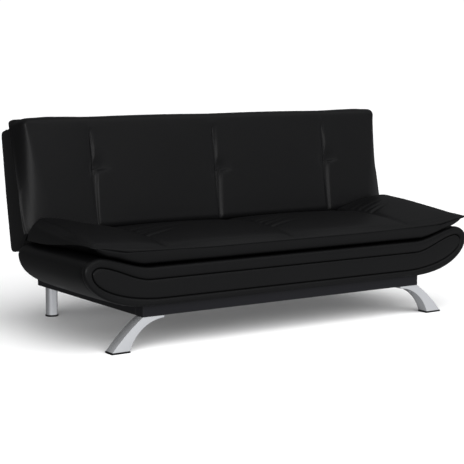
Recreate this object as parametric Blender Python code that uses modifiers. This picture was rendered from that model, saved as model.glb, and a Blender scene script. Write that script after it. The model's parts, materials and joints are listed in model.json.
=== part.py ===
"""Click-clack futon sofa bed: a boat-shaped seat base on a rail plinth, with a back that reclines flat.

Metres, +Z up, +X along the sofa, +Y towards the back. The origin is on the floor, under the middle of
the whole sofa. The back, the pawls and everything on them hang from empties on their joints' axes.
"""

import math

import bmesh
import bpy
from mathutils import Matrix, Vector

# ---- driving dimensions -------------------------------------------------------------------------
GAP = 0.0003  # between pieces that touch
FRONT = -0.421  # plinth front plane
REAR = 0.463  # plinth rear plane
PLINTH_HALF = 0.671
PLINTH_LOW = 0.127
PLINTH_TOP = 0.171
RAIL_WIDTH = 0.055

REAR_LEG_X = 0.632
REAR_LEG_Y = 0.412
REAR_LEG_R = 0.025
PAD_HEIGHT = 0.005  # pad or cap under each leg

BASE_FRONT = -0.448  # front of the upholstered seat base
BASE_REAR = 0.119
APRON_BACK = 0.050  # from the front of the base to the back of the front apron
FASCIA = 0.008  # thickness of the fascia panel
BASE_MID_TOP = 0.316
BASE_END_TOP = 0.366
KEEL_END = 0.650  # the flat bottom of the boat shape ends here and the ends start to curve up
NOSE = 0.920  # furthest reach of the upturned ends
NOSE_Z = 0.316
END_X = 0.662  # inner face of the end bolsters; the hinges live between here and the end boards

PAD_HALF = 0.906
PAD_FRONT = -0.463
PAD_REAR_TOP = 0.040
PAD_REAR_LOW = 0.082

BACK_HALF = 0.886
PIVOT = Vector((0.0, 0.141, 0.320))
LEAN = math.radians(11.8)  # recline of the back at rest

HINGE_X = 0.6388  # inner face of the hinge's seat plate
PLATE = 0.005
ARM_X = HINGE_X + 1.5 * PLATE + GAP  # middle of the back arm and of the pawl
HEAD_R = 0.030  # ratchet head
TOOTH_DEPTH = 0.004
BACK_STOPS = (4.0, 0.0, -38.0, -78.2)  # forward trip, sofa, lounge and bed, degrees of back turn

TIMBER_EDGE = 0.002


# ---- materials ----------------------------------------------------------------------------------
def material(name, colour, roughness, metallic=0.0):
    made = bpy.data.materials.new(name)
    made.use_nodes = True
    shader = made.node_tree.nodes["Principled BSDF"]
    shader.inputs["Base Color"].default_value = (*colour, 1.0)
    shader.inputs["Roughness"].default_value = roughness
    shader.inputs["Metallic"].default_value = metallic
    return made


# ---- modelling helpers --------------------------------------------------------------------------
def add(name, mesh, finish, collection=None, place=None):
    """Link a mesh as a named part, or as a cutter in the cutters' collection."""
    part = bpy.data.objects.new(name, mesh)
    (collection or PARTS).objects.link(part)
    part.matrix_world = place or Matrix()
    if finish:
        mesh.materials.append(finish)
    return part


def smooth(part, angle=35.0):
    part.data.shade_smooth()
    part.data.set_sharp_from_angle(angle=math.radians(angle))
    return part


def soften(part, width, segments=1):
    """Round the edges of a hard-edged part."""
    bevel = part.modifiers.new("rounded edges", "BEVEL")
    bevel.width = width
    bevel.segments = segments
    bevel.limit_method = "ANGLE"
    bevel.angle_limit = math.radians(40.0)
    return part


def box(name, low, high, finish, edge=0.0):
    low, high = Vector(low), Vector(high)
    mesh = bpy.data.meshes.new(name)
    shape = bmesh.new()
    bmesh.ops.create_cube(shape, size=1.0)
    bmesh.ops.scale(shape, vec=high - low, verts=shape.verts)
    shape.to_mesh(mesh)
    shape.free()
    part = add(name, mesh, finish, place=Matrix.Translation((low + high) / 2))
    return soften(part, edge) if edge else part


def turned(name, profile, place, finish, steps=24):
    """Turn a closed (radius, height) outline about local Z, outer side listed from top to bottom."""
    mesh = bpy.data.meshes.new(name)
    shape = bmesh.new()
    ring = [shape.verts.new((radius, 0.0, height)) for radius, height in profile]
    for start, end in zip(ring, ring[1:] + ring[:1]):
        if start.co.x > 0.0 or end.co.x > 0.0:
            shape.edges.new((start, end))
    shape.to_mesh(mesh)
    shape.free()
    part = add(name, mesh, finish, None, place)
    screw = part.modifiers.new("turned", "SCREW")
    screw.steps = screw.render_steps = steps
    screw.use_merge_vertices = True
    screw.merge_threshold = 0.00001
    screw.use_normal_calculate = False
    screw.use_smooth_shade = True
    return part


def plate(name, outlines, thickness, place, finish, collection=None):
    """A flat plate centred on local XY from closed outlines; every outline after the first is a hole."""
    curve = bpy.data.curves.new(name, "CURVE")
    curve.dimensions = "2D"
    curve.fill_mode = "BOTH"
    curve.extrude = thickness / 2
    for outline in outlines:
        spline = curve.splines.new("POLY")
        spline.points.add(len(outline) - 1)
        for point, (x, y) in zip(spline.points, outline):
            point.co = (x, y, 0.0, 1.0)
        spline.use_cyclic_u = True
    guide = bpy.data.objects.new(name + "_outline", curve)
    PARTS.objects.link(guide)
    bpy.context.view_layer.update()
    evaluated = guide.evaluated_get(bpy.context.evaluated_depsgraph_get())
    mesh = bpy.data.meshes.new_from_object(evaluated)
    mesh.name = name
    bpy.data.objects.remove(guide)
    bpy.data.curves.remove(curve)
    shape = bmesh.new()
    shape.from_mesh(mesh)
    bmesh.ops.remove_doubles(shape, verts=shape.verts, dist=0.00001)
    bmesh.ops.recalc_face_normals(shape, faces=shape.faces)
    shape.to_mesh(mesh)
    shape.free()
    return add(name, mesh, finish, collection, place)


def loft(name, sections, finish):
    """Skin a row of sections, each a ring of the same number of 3-D points, and close both ends."""
    mesh = bpy.data.meshes.new(name)
    shape = bmesh.new()
    rings = [[shape.verts.new(point) for point in section] for section in sections]
    for ring, following in zip(rings, rings[1:]):
        for i in range(len(ring)):
            j = (i + 1) % len(ring)
            shape.faces.new((ring[i], ring[j], following[j], following[i]))
    shape.faces.new(rings[0])
    shape.faces.new(rings[-1])
    bmesh.ops.recalc_face_normals(shape, faces=shape.faces)
    shape.to_mesh(mesh)
    shape.free()
    return smooth(add(name, mesh, finish), 40.0)


def wire(name, route, radius, finish):
    """A round wire along a route of points."""
    curve = bpy.data.curves.new(name, "CURVE")
    curve.dimensions = "3D"
    curve.bevel_depth = radius
    curve.bevel_resolution = 2
    curve.use_fill_caps = True
    spline = curve.splines.new("POLY")
    spline.points.add(len(route) - 1)
    for point, place in zip(spline.points, route):
        point.co = (*place, 1.0)
    part = bpy.data.objects.new(name, curve)
    PARTS.objects.link(part)
    curve.materials.append(finish)
    return part


def to_cutters(part):
    PARTS.objects.unlink(part)
    CUTTERS.objects.link(part)


def cut(part, cutter):
    """Take a cutter out of a part."""
    boolean = part.modifiers.new("cut", "BOOLEAN")
    boolean.operation = "DIFFERENCE"
    boolean.object = cutter
    cutter.hide_render = True
    cutter.display_type = "WIRE"


def empty(name, place):
    """A joint's centre, which the pieces that turn on it hang from."""
    centre = bpy.data.objects.new(name, None)
    PARTS.objects.link(centre)
    centre.location = place
    centre.empty_display_size = 0.05
    return centre


def hang(parts, centre):
    bpy.context.view_layer.update()
    for part in parts:
        part.parent = centre
        part.matrix_parent_inverse = centre.matrix_world.inverted()


# ---- outlines and frames ------------------------------------------------------------------------
def rounded(corners, steps=4):
    """A closed outline through (x, y, radius) corners, each corner an arc of the given radius."""
    outline = []
    count = len(corners)
    for i, (x, y, radius) in enumerate(corners):
        corner = Vector((x, y))
        before = (Vector(corners[i - 1][:2]) - corner).normalized()
        after = (Vector(corners[(i + 1) % count][:2]) - corner).normalized()
        half = before.angle(after) / 2
        reach = radius / math.tan(half)
        start, end = corner + before * reach, corner + after * reach
        centre = corner + (before + after).normalized() * (radius / math.sin(half))
        first, last = start - centre, end - centre
        sweep = first.angle_signed(last)
        for k in range(steps + 1):
            arm = first.copy()
            arm.rotate(Matrix.Rotation(-sweep * k / steps, 2))
            outline.append(tuple(centre + arm))
    return outline


def circle(centre, radius, steps=20):
    return [
        (
            centre[0] + radius * math.cos(2 * math.pi * k / steps),
            centre[1] + radius * math.sin(2 * math.pi * k / steps),
        )
        for k in range(steps)
    ]


def arc(start, middle, end, steps):
    """Points on the circle arc from start through middle to end."""
    a, b, c = Vector(start), Vector(middle), Vector(end)
    ab, bc = (a + b) / 2, (b + c) / 2
    across_ab, across_bc = Vector((a.y - b.y, b.x - a.x)), Vector((b.y - c.y, c.x - b.x))
    gap = bc - ab
    reach = (gap.x * across_bc.y - gap.y * across_bc.x) / (
        across_ab.x * across_bc.y - across_ab.y * across_bc.x
    )
    centre = ab + across_ab * reach
    first = math.atan2(a.y - centre.y, a.x - centre.x)
    total = (a - centre).angle_signed(c - centre)
    radius = (a - centre).length
    return [
        (
            centre.x + radius * math.cos(first - total * k / steps),
            centre.y + radius * math.sin(first - total * k / steps),
        )
        for k in range(steps + 1)
    ]


def on_side(x):
    """Places an outline drawn in (Y, Z) at world x, so its thickness runs along X."""
    return Matrix(((0, 0, 1, x), (1, 0, 0, 0), (0, 1, 0, 0), (0, 0, 0, 1)))


def on_front(y):
    """Places an outline drawn in (X, Z) at world y, so its thickness runs along Y."""
    return Matrix(((1, 0, 0, 0), (0, 0, -1, y), (0, 1, 0, 0), (0, 0, 0, 1)))


def from_back(up, forward):
    """World (Y, Z) of a point given up along the leaning back and forward of it, from the pivot."""
    return (
        PIVOT.y + up * math.sin(LEAN) - forward * math.cos(LEAN),
        PIVOT.z + up * math.cos(LEAN) + forward * math.sin(LEAN),
    )


def in_back(x=0.0):
    """Frame of the leaning back: local X along the sofa, local Y backwards, local Z up the back."""
    return Matrix.Translation(PIVOT + Vector((x, 0.0, 0.0))) @ Matrix.Rotation(-LEAN, 4, "X")


def back_box(name, x_range, up_range, forward_range, finish, edge=TIMBER_EDGE):
    """A box square to the leaning back."""
    part = box(
        name,
        (x_range[0], -forward_range[1], up_range[0]),
        (x_range[1], -forward_range[0], up_range[1]),
        finish,
        edge,
    )
    part.matrix_world = in_back() @ part.matrix_world
    return part


def ease(t):
    t = min(max(t, 0.0), 1.0)
    return t * t * (3.0 - 2.0 * t)


# ---- the boat shape of the seat base ------------------------------------------------------------
def keel(x):
    """Underside of the seat base: flat, then a quarter ellipse up to the nose."""
    beyond = max(0.0, abs(x) - KEEL_END) / (NOSE - KEEL_END)
    drop = NOSE_Z - PLINTH_TOP - GAP
    return NOSE_Z - drop * math.sqrt(max(0.0, 1.0 - beyond * beyond))


def deck(x):
    """Top of the seat base: low in the middle, up at the ends, rounded over to the nose."""
    rise = BASE_MID_TOP + (BASE_END_TOP - BASE_MID_TOP) * ease((abs(x) - 0.64) / 0.24)
    beyond = max(0.0, abs(x) - 0.85) / (NOSE - 0.85)
    return NOSE_Z + (rise - NOSE_Z) * math.sqrt(max(0.0, 1.0 - beyond * beyond))


def towards(start, end, count):
    """Stations along X from start to end, closer together near the end, where the shape curves."""
    return [start + (end - start) * math.sin(math.pi / 2 * k / count) for k in range(count + 1)]


def mirrored(stations):
    return [-x for x in reversed(stations) if x > 0.0] + list(stations)


# ---- the plinth and the legs --------------------------------------------------------------------
def make_plinth():
    inner = PLINTH_HALF - RAIL_WIDTH
    low, high = PLINTH_LOW, PLINTH_TOP
    box(
        "plinth_front_rail",
        (-PLINTH_HALF, FRONT, low),
        (PLINTH_HALF, FRONT + RAIL_WIDTH, high),
        RAIL_PAINT,
        TIMBER_EDGE,
    )
    box(
        "plinth_rear_rail",
        (-inner + GAP, REAR - RAIL_WIDTH, low),
        (inner - GAP, REAR, high),
        RAIL_PAINT,
        TIMBER_EDGE,
    )
    for side, sign in SIDES:
        near, far = sorted((sign * inner, sign * PLINTH_HALF))
        box(
            f"plinth_side_rail_{side}",
            (near, FRONT + RAIL_WIDTH + GAP, low),
            (far, REAR, high),
            RAIL_PAINT,
            TIMBER_EDGE,
        )
        box(
            f"plinth_cross_bar_{side}",
            (sign * 0.21 - 0.015, FRONT + RAIL_WIDTH + GAP, low + 0.006),
            (sign * 0.21 + 0.015, REAR - RAIL_WIDTH - GAP, high - 0.004),
            RAIL_PAINT,
            TIMBER_EDGE,
        )


def bolt(name, x, y, seat, length):
    """Hexagon-head bolt pointing up, its head under the given seat height."""
    head_r, head_h, shank_r = 0.0065, 0.005, 0.004
    mesh = bpy.data.meshes.new(name)
    shape = bmesh.new()
    bmesh.ops.create_cone(
        shape,
        cap_ends=True,
        segments=12,
        radius1=shank_r,
        radius2=shank_r,
        depth=length + 0.001,
        matrix=Matrix.Translation((0, 0, (length - 0.001) / 2)),
    )
    shape.to_mesh(mesh)
    shape.free()
    part = add(name, mesh, STEEL, None, Matrix.Translation((x, y, seat)))
    head = bpy.data.meshes.new(name + "_head")
    shape = bmesh.new()
    bmesh.ops.create_cone(
        shape,
        cap_ends=True,
        segments=6,
        radius1=head_r,
        radius2=head_r,
        depth=head_h,
        matrix=Matrix.Translation((0, 0, -head_h / 2)),
    )
    shape.to_mesh(head)
    shape.free()
    tool = add(name + "_head", head, None, CUTTERS, Matrix.Translation((x, y, seat)))
    tool.hide_render = True
    tool.display_type = "WIRE"
    join = part.modifiers.new("head", "BOOLEAN")
    join.operation = "UNION"
    join.object = tool
    return part


def front_leg(side, sign):
    """Curved flat-band leg: sweeps out from the plinth's corner to a broad foot."""
    depth = RAIL_WIDTH
    top = PLINTH_LOW - GAP
    foot = PAD_HEIGHT + GAP
    outer = arc((0.6705, top), (0.748, 0.062), (0.801, foot), 12)
    inner = arc((0.7262, foot), (0.681, 0.0755), (0.578, 0.1185), 12)
    outline = [(sign * x, z) for x, z in outer + inner + [(0.578, top)]]
    middle = FRONT + depth / 2
    leg = plate(f"front_leg_{side}", [outline], depth, on_front(middle), CHROME)
    smooth(soften(leg, 0.002, 2), 30.0)
    heel, toe = sorted((sign * 0.7262, sign * 0.801))
    box(
        f"front_leg_pad_{side}",
        (heel + 0.001, FRONT + 0.002, 0.0),
        (toe - 0.001, FRONT + depth - 0.002, PAD_HEIGHT),
        BLACK_PLASTIC,
        0.001,
    )
    for place, x in (("inner", 0.600), ("outer", 0.655)):
        tall = 0.004
        head = PLINTH_LOW - GAP - tall
        name = f"front_leg_bolt_{side}_{place}"
        hole = plate(
            f"bolt_hole_{side}_{place}",
            [circle((0.0, 0.0), 0.0045)],
            0.2,
            Matrix.Translation((sign * x, middle, 0.2)),
            None,
            CUTTERS,
        )
        pocket = plate(
            f"bolt_pocket_{side}_{place}",
            [circle((0.0, 0.0), 0.0085)],
            0.2,
            Matrix.Translation((sign * x, middle, head - 0.1 - GAP)),
            None,
            CUTTERS,
        )
        cut(leg, hole)
        cut(leg, pocket)
        cut(bpy.data.objects["plinth_front_rail"], hole)
        bolt(name, sign * x, middle, head - 2 * GAP, 0.030)


def rear_leg(side, sign):
    """Straight round tube with a push-in cap at the floor and a bolted plug at the top."""
    x, y, r = sign * REAR_LEG_X, REAR_LEG_Y, REAR_LEG_R
    low, high = PAD_HEIGHT + GAP, PLINTH_LOW - GAP
    wall, web = 0.002, 0.006
    bore = r - wall
    hole = 0.0045
    turned(
        f"rear_leg_{side}",
        [(r, high), (r, low), (bore, low), (bore, high - web), (hole, high - web), (hole, high)],
        Matrix.Translation((x, y, 0.0)),
        CHROME,
        32,
    )
    cap_r = r + 0.0015
    plug = bore - GAP
    turned(
        f"rear_leg_cap_{side}",
        [(0.0, 0.014), (plug, 0.014), (plug, PAD_HEIGHT), (cap_r, PAD_HEIGHT), (cap_r, 0.0), (0.0, 0.0)],
        Matrix.Translation((x, y, 0.0)),
        BLACK_PLASTIC,
        32,
    )
    rail_hole = plate(
        f"rear_bolt_hole_{side}",
        [circle((0.0, 0.0), hole)],
        0.2,
        Matrix.Translation((x, y, 0.2)),
        None,
        CUTTERS,
    )
    cut(bpy.data.objects[f"plinth_side_rail_{side}"], rail_hole)
    bolt(f"rear_leg_bolt_{side}", x, y, high - web - GAP, 0.032)


# ---- the seat -----------------------------------------------------------------------------------
def base_block(name, stations, low_y, high_y, radii):
    """A block of the seat base: the boat shape at each station, with a radius on each long edge."""
    sections = []
    for x in stations:
        low, high = keel(x), deck(x)
        room = 0.45 * (high - low)
        front_low, rear_low, rear_high, front_high = (min(radius, room) for radius in radii)
        ring = rounded(
            [
                (low_y, low, front_low),
                (high_y, low, rear_low),
                (high_y, high, rear_high),
                (low_y, high, front_high),
            ]
        )
        sections.append([(x, y, z) for y, z in ring])
    return loft(name, sections, LEATHER)


def base_blocks():
    """Upholstered front apron, rear apron and the two upturned end bolsters between them."""
    sharp = 0.002
    tip = NOSE - 0.0006
    full = mirrored([0.0, 0.3, 0.6] + towards(0.66, tip, 11))
    behind_front = BASE_FRONT + APRON_BACK
    base_block("seat_front_apron", full, BASE_FRONT + FASCIA + GAP, behind_front, (0.014, sharp, sharp, 0.014))
    middle = mirrored([0.0, HINGE_X - 0.005])
    base_block("seat_rear_apron", middle, BASE_REAR - 0.030, BASE_REAR, (sharp, 0.010, 0.012, sharp))
    for side, sign in SIDES:
        outward = [sign * x for x in [END_X] + towards(0.69, tip, 9)]
        radii = (sharp, 0.010, 0.034, sharp)
        base_block(f"seat_end_bolster_{side}", outward, behind_front + GAP, BASE_REAR, radii)


def fascia():
    """Racetrack panel sewn into the front apron, following the boat shape."""
    upper = [(0.0, 0.2685), (0.45, 0.2685)]
    for k in range(1, 9):
        x = 0.60 + (0.852 - 0.60) * k / 8
        upper.append((x, 0.2685 + 0.062 * ease((x - 0.64) / 0.235)))
    tip = arc((0.862, 0.3305), (0.884, 0.324), (0.889, 0.307), 4)
    lower = []
    for k in range(10):
        t = 1.0 - k / 9
        x = 0.58 + 0.309 * math.sin(math.pi / 2 * t)
        lower.append((x, 0.310 - 0.114 * math.sqrt(max(0.0, 1.0 - ((x - 0.58) / 0.31) ** 2))))
    half = upper + tip + lower[1:] + [(0.0, 0.196)]
    outline = half + [(-x, z) for x, z in reversed(half) if x > 0.0]
    panel = plate("seat_fascia_panel", [outline], FASCIA, on_front(BASE_FRONT + FASCIA / 2), LEATHER)
    return smooth(soften(panel, 0.002), 40.0)


def seat_frame():
    """Timber box under the springs, with the four sinuous springs hooked over its boards."""
    low, high = PLINTH_TOP + 0.003, 0.300
    front, rear = BASE_FRONT + APRON_BACK + GAP, BASE_REAR - 0.030 - GAP
    board = 0.020
    inner = HINGE_X - GAP
    box("seat_front_board", (-inner, front, low), (inner, front + board, high), TIMBER, TIMBER_EDGE)
    box("seat_rear_board", (-inner, rear - board, low), (inner, rear, high), TIMBER, TIMBER_EDGE)
    for side, sign in SIDES:
        near, far = sorted((sign * (inner - board), sign * inner))
        box(
            f"seat_end_board_{side}",
            (near, front + board + GAP, low),
            (far, rear - board - GAP, high),
            TIMBER,
            TIMBER_EDGE,
        )
    radius = 0.0018
    lift = high + radius + GAP
    waves, swing = 11, 0.026
    start, end = front + 0.006, rear - 0.006
    for number in range(4):
        centre = -0.45 + 0.30 * number
        route = []
        for k in range(waves * 4 + 1):
            turn = math.pi * k / 4
            route.append((centre + swing * math.sin(turn), start + (end - start) * k / (waves * 4), lift))
        wire(f"seat_spring_{number + 1}", route, radius, STEEL)


def dust_cover():
    """Thin sheet tacked under the seat frame, inside the plinth."""
    box(
        "seat_dust_cover",
        (-0.618, BASE_FRONT + 0.052, PLINTH_TOP + GAP),
        (0.618, BASE_REAR - 0.032, PLINTH_TOP + 0.0024),
        CLOTH,
    )


def seat_pad():
    """Pillow top: sits in the boat shape and curls up over its ends."""
    stations = mirrored([0.0, 0.15, 0.30, 0.45, 0.58, 0.66, 0.72, 0.78, 0.83, 0.86, 0.885, 0.900, PAD_HALF])
    sections = []
    for x in stations:
        out = abs(x)
        curl = ease((out - 0.50) / 0.36)
        tip = max(0.0, out - 0.86) / (PAD_HALF - 0.86)
        high = 0.417 + 0.044 * curl - 0.034 * tip * tip
        low = deck(min(out, 0.85)) + 0.0015 + 0.026 * tip
        low = max(low, 0.3205)
        front = PAD_FRONT + 0.012 * tip
        soft = 0.42 * (high - low)
        ring = rounded(
            [
                (front, low, min(0.030, soft)),
                (PAD_REAR_LOW, low, 0.012),
                (PAD_REAR_TOP, high, 0.016),
                (front, high, min(0.045, soft)),
            ],
            4,
        )
        sections.append([(x, y, z) for y, z in ring])
    return loft("seat_pad", sections, LEATHER)


# ---- the back -----------------------------------------------------------------------------------
def inset(corners, depth):
    """The same closed outline drawn in by a depth, its corner radii reduced to match."""
    drawn = []
    count = len(corners)
    for i, (x, y, radius) in enumerate(corners):
        corner = Vector((x, y))
        before = (Vector(corners[i - 1][:2]) - corner).normalized()
        after = (Vector(corners[(i + 1) % count][:2]) - corner).normalized()
        step = (before + after).normalized() * (depth / math.sin(before.angle(after) / 2))
        drawn.append((x + step.x, y + step.y, max(radius - depth, 0.0015)))
    return drawn


def back_prism(name, corners, half, edge, finish):
    """One (up, forward, radius) outline along a span about x = 0, its two ends rounded by edge."""
    ends = [(half, edge), (half - 0.3 * edge, 0.3 * edge), (half - edge, 0.0)] if edge else [(half, 0.0)]
    sections = []
    for x, depth in [(-x, depth) for x, depth in ends] + ends[::-1]:
        outline = rounded(inset(corners, depth) if depth else corners, 3)
        sections.append([(x, *from_back(up, forward)) for up, forward in outline])
    return loft(name, sections, finish)


def back_cover():
    """Upholstered casing of the back: a tray open at the front, slotted below for the hinges."""
    wall = 0.014
    low, top, rear_low, rear_top, front = 0.010, 0.505, -0.099, -0.078, 0.200
    cover = back_prism(
        "back_cover",
        [
            (low, rear_low, 0.016),
            (top, rear_top, 0.014),
            (top, 0.037, 0.010),
            (0.052, 0.063, 0.004),
            (low, 0.004, 0.010),
        ],
        BACK_HALF,
        0.010,
        LEATHER,
    )
    hollow = back_prism(
        "back_hollow",
        [
            (low + wall, rear_low + wall, 0.003),
            (top - wall, rear_top + wall, 0.003),
            (top - wall, front, 0.003),
            (0.062, front, 0.003),
            (0.062, 0.052, 0.003),
            (low + wall, 0.001, 0.003),
        ],
        BACK_HALF - wall,
        0.0,
        None,
    )
    to_cutters(hollow)
    cut(cover, hollow)
    reach = HEAD_R + 0.004
    behind = HEAD_R + 0.018  # room for the seat plate's corner when the back lies flat
    for side, sign in SIDES:
        near, far = sorted((sign * (HINGE_X - 0.002), sign * (HINGE_X + 0.015)))
        slot = back_box(f"back_slot_{side}", (near, far), (-0.020, reach), (-behind, reach), None, 0.0)
        to_cutters(slot)
        cut(cover, slot)
    return cover


def back_frame():
    """Timber ladder inside the casing, with two webbing straps and the foam block on its front."""
    timber = [
        back_box("back_bottom_rail", (-0.868, 0.868), (0.026, 0.060), (-0.082, -0.045), TIMBER),
        back_box("back_top_rail", (-0.868, 0.868), (0.455, 0.488), (-0.062, -0.025), TIMBER),
    ]
    depth = (-0.0447, -0.0247)
    inner = HINGE_X + PLATE
    uprights = [
        ("back_stile_left", (-inner, -inner + 0.036)),
        ("back_stile_right", (inner - 0.036, inner)),
        ("back_stile_centre", (-0.018, 0.018)),
        ("back_end_stile_left", (-0.868, -0.832)),
        ("back_end_stile_right", (0.832, 0.868)),
    ]
    for name, span in uprights:
        low = 0.038 if span[0] in (-inner, inner - 0.036) else 0.028
        timber.append(back_box(name, span, (low, 0.4547), depth, TIMBER))
    front = -0.0247 + GAP
    for name, low in (("back_web_lower", 0.150), ("back_web_upper", 0.300)):
        timber.append(back_box(name, (-0.868, 0.868), (low, low + 0.05), (front, front + 0.002), CLOTH, 0.0))
    core = front + 0.002 + GAP
    timber.append(back_box("back_foam", (-0.866, 0.866), (0.118, 0.450), (core, 0.034), FOAM, 0.004))
    return timber


def back_pad():
    """Front cushion of the back, thinner towards its lower edge."""
    stations = mirrored([0.0, 0.30, 0.60, 0.78, 0.84, 0.868, 0.880, BACK_HALF])
    sections = []
    for x in stations:
        tip = max(0.0, abs(x) - 0.84) / (BACK_HALF - 0.84)
        pull = 0.018 * (1.0 - math.sqrt(max(0.0, 1.0 - tip * tip)))
        corners = [
            (0.064, 0.0630, 0.003),
            (0.098 + pull, 0.101 - pull, 0.012),
            (0.523 - pull / 2, 0.101 - pull, 0.022),
            (0.523 - pull / 2, 0.0368, 0.010),
        ]
        sections.append([(x, *from_back(up, forward)) for up, forward in rounded(corners, 4)])
    return loft("back_pad", sections, LEATHER)


# ---- the ratchet hinges -------------------------------------------------------------------------
# Hinge outlines are drawn in (Y, Z) about the pivot.
PAWL_ANGLE = math.radians(222.0)  # where the pawl's tooth meets the ratchet head, seen from the side
NOTCH_HALF = math.radians(7.5)
TOOTH_HALF = 0.0019
PAWL_CLEAR = 0.0004  # between the resting tooth and the rim
PIVOT_R = 0.0060
PAWL_PIN_R = 0.0030
RUNNING = 0.0002  # radial clearance of a pin in its hole


def polar(radius, angle, centre=(0.0, 0.0)):
    return (centre[0] + radius * math.cos(angle), centre[1] + radius * math.sin(angle))


def at_tooth(out, along):
    """A point given outwards from the rim where the tooth meets it, and along the rim's tangent."""
    rim = polar(HEAD_R + out, PAWL_ANGLE)
    return polar(along, PAWL_ANGLE + math.pi / 2, rim)


PAWL_PIN = at_tooth(0.0073, 0.0238)


def rim_arc(radius, start, end):
    steps = max(1, round((end - start) / math.radians(9.0)))
    return [polar(radius, start + (end - start) * k / steps) for k in range(steps + 1)]


def hinge_plate(name, outlines, x):
    place = Matrix.Translation(Vector((0.0, PIVOT.y, PIVOT.z))) @ on_side(x)
    return plate(name, outlines, PLATE - GAP, place, STEEL)


def back_arm(side, sign):
    """Ratchet head round the pivot with a notch for each stop, and a strip up the hinge stile."""
    notches = sorted(PAWL_ANGLE - math.radians(stop) for stop in BACK_STOPS)
    spans = []
    for centre in notches:
        if spans and centre - NOTCH_HALF < spans[-1][1]:
            spans[-1][1] = centre + NOTCH_HALF
        else:
            spans.append([centre - NOTCH_HALF, centre + NOTCH_HALF])
    neck = 0.013
    half_neck = math.asin(neck / HEAD_R)
    angle = math.pi / 2 - LEAN + half_neck
    end = math.pi / 2 - LEAN - half_neck + 2 * math.pi
    outline = []
    for start, finish in spans:
        outline += rim_arc(HEAD_R, angle, start) + rim_arc(HEAD_R - TOOTH_DEPTH, start, finish)
        angle = finish
    outline += rim_arc(HEAD_R, angle, end)
    strip = [
        (0.070, -neck),
        (0.105, -0.0430),
        (0.234, -0.0430),
        (0.240, -0.0380),
        (0.240, -0.0300),
        (0.234, -0.0252),
        (0.117, -0.0252),
        (0.078, neck),
    ]
    for up, forward in strip:
        y, z = from_back(up, forward)
        outline.append((y - PIVOT.y, z - PIVOT.z))
    holes = [circle((0.0, 0.0), PIVOT_R + RUNNING)]
    return hinge_plate(f"hinge_back_arm_{side}", [outline] + holes, sign * ARM_X)


def seat_plate(side, sign):
    """Bracket on the outside of the seat's end board; carries the pivot pin and the pawl's pin."""
    corners = [
        (-0.270, -0.080, 0.008),
        (-0.080, -0.080, 0.020),
        (0.006, -0.050, 0.012),
        (0.022, -0.016, 0.014),
        (0.020, 0.020, 0.014),
        (-0.018, 0.022, 0.014),
        (-0.060, -0.022, 0.030),
        (-0.270, -0.040, 0.008),
    ]
    holes = [circle((0.0, 0.0), PIVOT_R + RUNNING), circle(PAWL_PIN, PAWL_PIN_R + RUNNING, 12)]
    return hinge_plate(f"hinge_seat_plate_{side}", [rounded(corners)] + holes, sign * (HINGE_X + PLATE / 2))


def pin(name, spot, radius, head_radius, sign):
    """Headed pin along X through both plates, its head outboard."""
    head = 0.003
    outer = HINGE_X + 2 * PLATE + 2 * GAP
    length = outer - HINGE_X - GAP
    profile = [
        (0.0, head),
        (head_radius, head),
        (head_radius, 0.0),
        (radius, 0.0),
        (radius, -length),
        (0.0, -length),
    ]
    place = Matrix.Translation((sign * outer, PIVOT.y + spot[0], PIVOT.z + spot[1]))
    return turned(name, profile, place @ Matrix.Rotation(sign * math.pi / 2, 4, "Y"), STEEL, 20)


def pawl(side, sign):
    """Pawl held just clear of the ratchet head; swinging in drops its tooth into a notch."""
    hub_r = 0.0065
    hub = [polar(hub_r, PAWL_ANGLE + math.radians(turn), PAWL_PIN) for turn in range(200, -61, -26)]
    outline = [
        at_tooth(PAWL_CLEAR, -TOOTH_HALF),
        at_tooth(PAWL_CLEAR, TOOTH_HALF),
        at_tooth(0.0045, TOOTH_HALF + 0.0003),
        *hub,
        at_tooth(0.0112, 0.0080),
        at_tooth(0.0100, -0.0030),
        at_tooth(0.0045, -TOOTH_HALF - 0.0003),
    ]
    holes = [circle(PAWL_PIN, PAWL_PIN_R + RUNNING, 12)]
    return hinge_plate(f"hinge_pawl_{side}", [outline] + holes, sign * ARM_X)


def pawl_spring(side, sign):
    """Leaf spring lying along the outside of the pawl, with a folded foot on the seat plate."""
    thick = 0.0008
    near = [(0.0108, -0.0050), (0.0120, 0.0080), (0.0138, 0.0180), (0.0160, 0.0300)]
    foot = [(0.0215, 0.0300), (0.0215, 0.0245), (0.0160 + thick, 0.0245)]
    far = [(out + thick, along) for out, along in reversed(near[:3])]
    outline = [at_tooth(out, along) for out, along in near + foot + far]
    return hinge_plate(f"hinge_pawl_spring_{side}", [outline], sign * ARM_X)


def hinges():
    """Both hinges; returns the two arms that turn with the back."""
    arms = []
    for side, sign in SIDES:
        seat_plate(side, sign)
        arms.append(back_arm(side, sign))
        pin(f"hinge_pin_{side}", (0.0, 0.0), PIVOT_R, 0.0100, sign)
        pin(f"hinge_pawl_pin_{side}", PAWL_PIN, PAWL_PIN_R, 0.0055, sign)
        pawl_spring(side, sign)
        centre = (sign * ARM_X, PIVOT.y + PAWL_PIN[0], PIVOT.z + PAWL_PIN[1])
        hang([pawl(side, sign)], empty(f"pawl_axis_{side}", centre))
    return arms


# ---- build --------------------------------------------------------------------------------------
for old in list(bpy.data.objects):
    bpy.data.objects.remove(old)

PARTS = bpy.data.collections.new("futon_sofa_bed")
CUTTERS = bpy.data.collections.new("cutters")
for group in (PARTS, CUTTERS):
    bpy.context.scene.collection.children.link(group)

SIDES = (("left", -1.0), ("right", 1.0))

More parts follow.
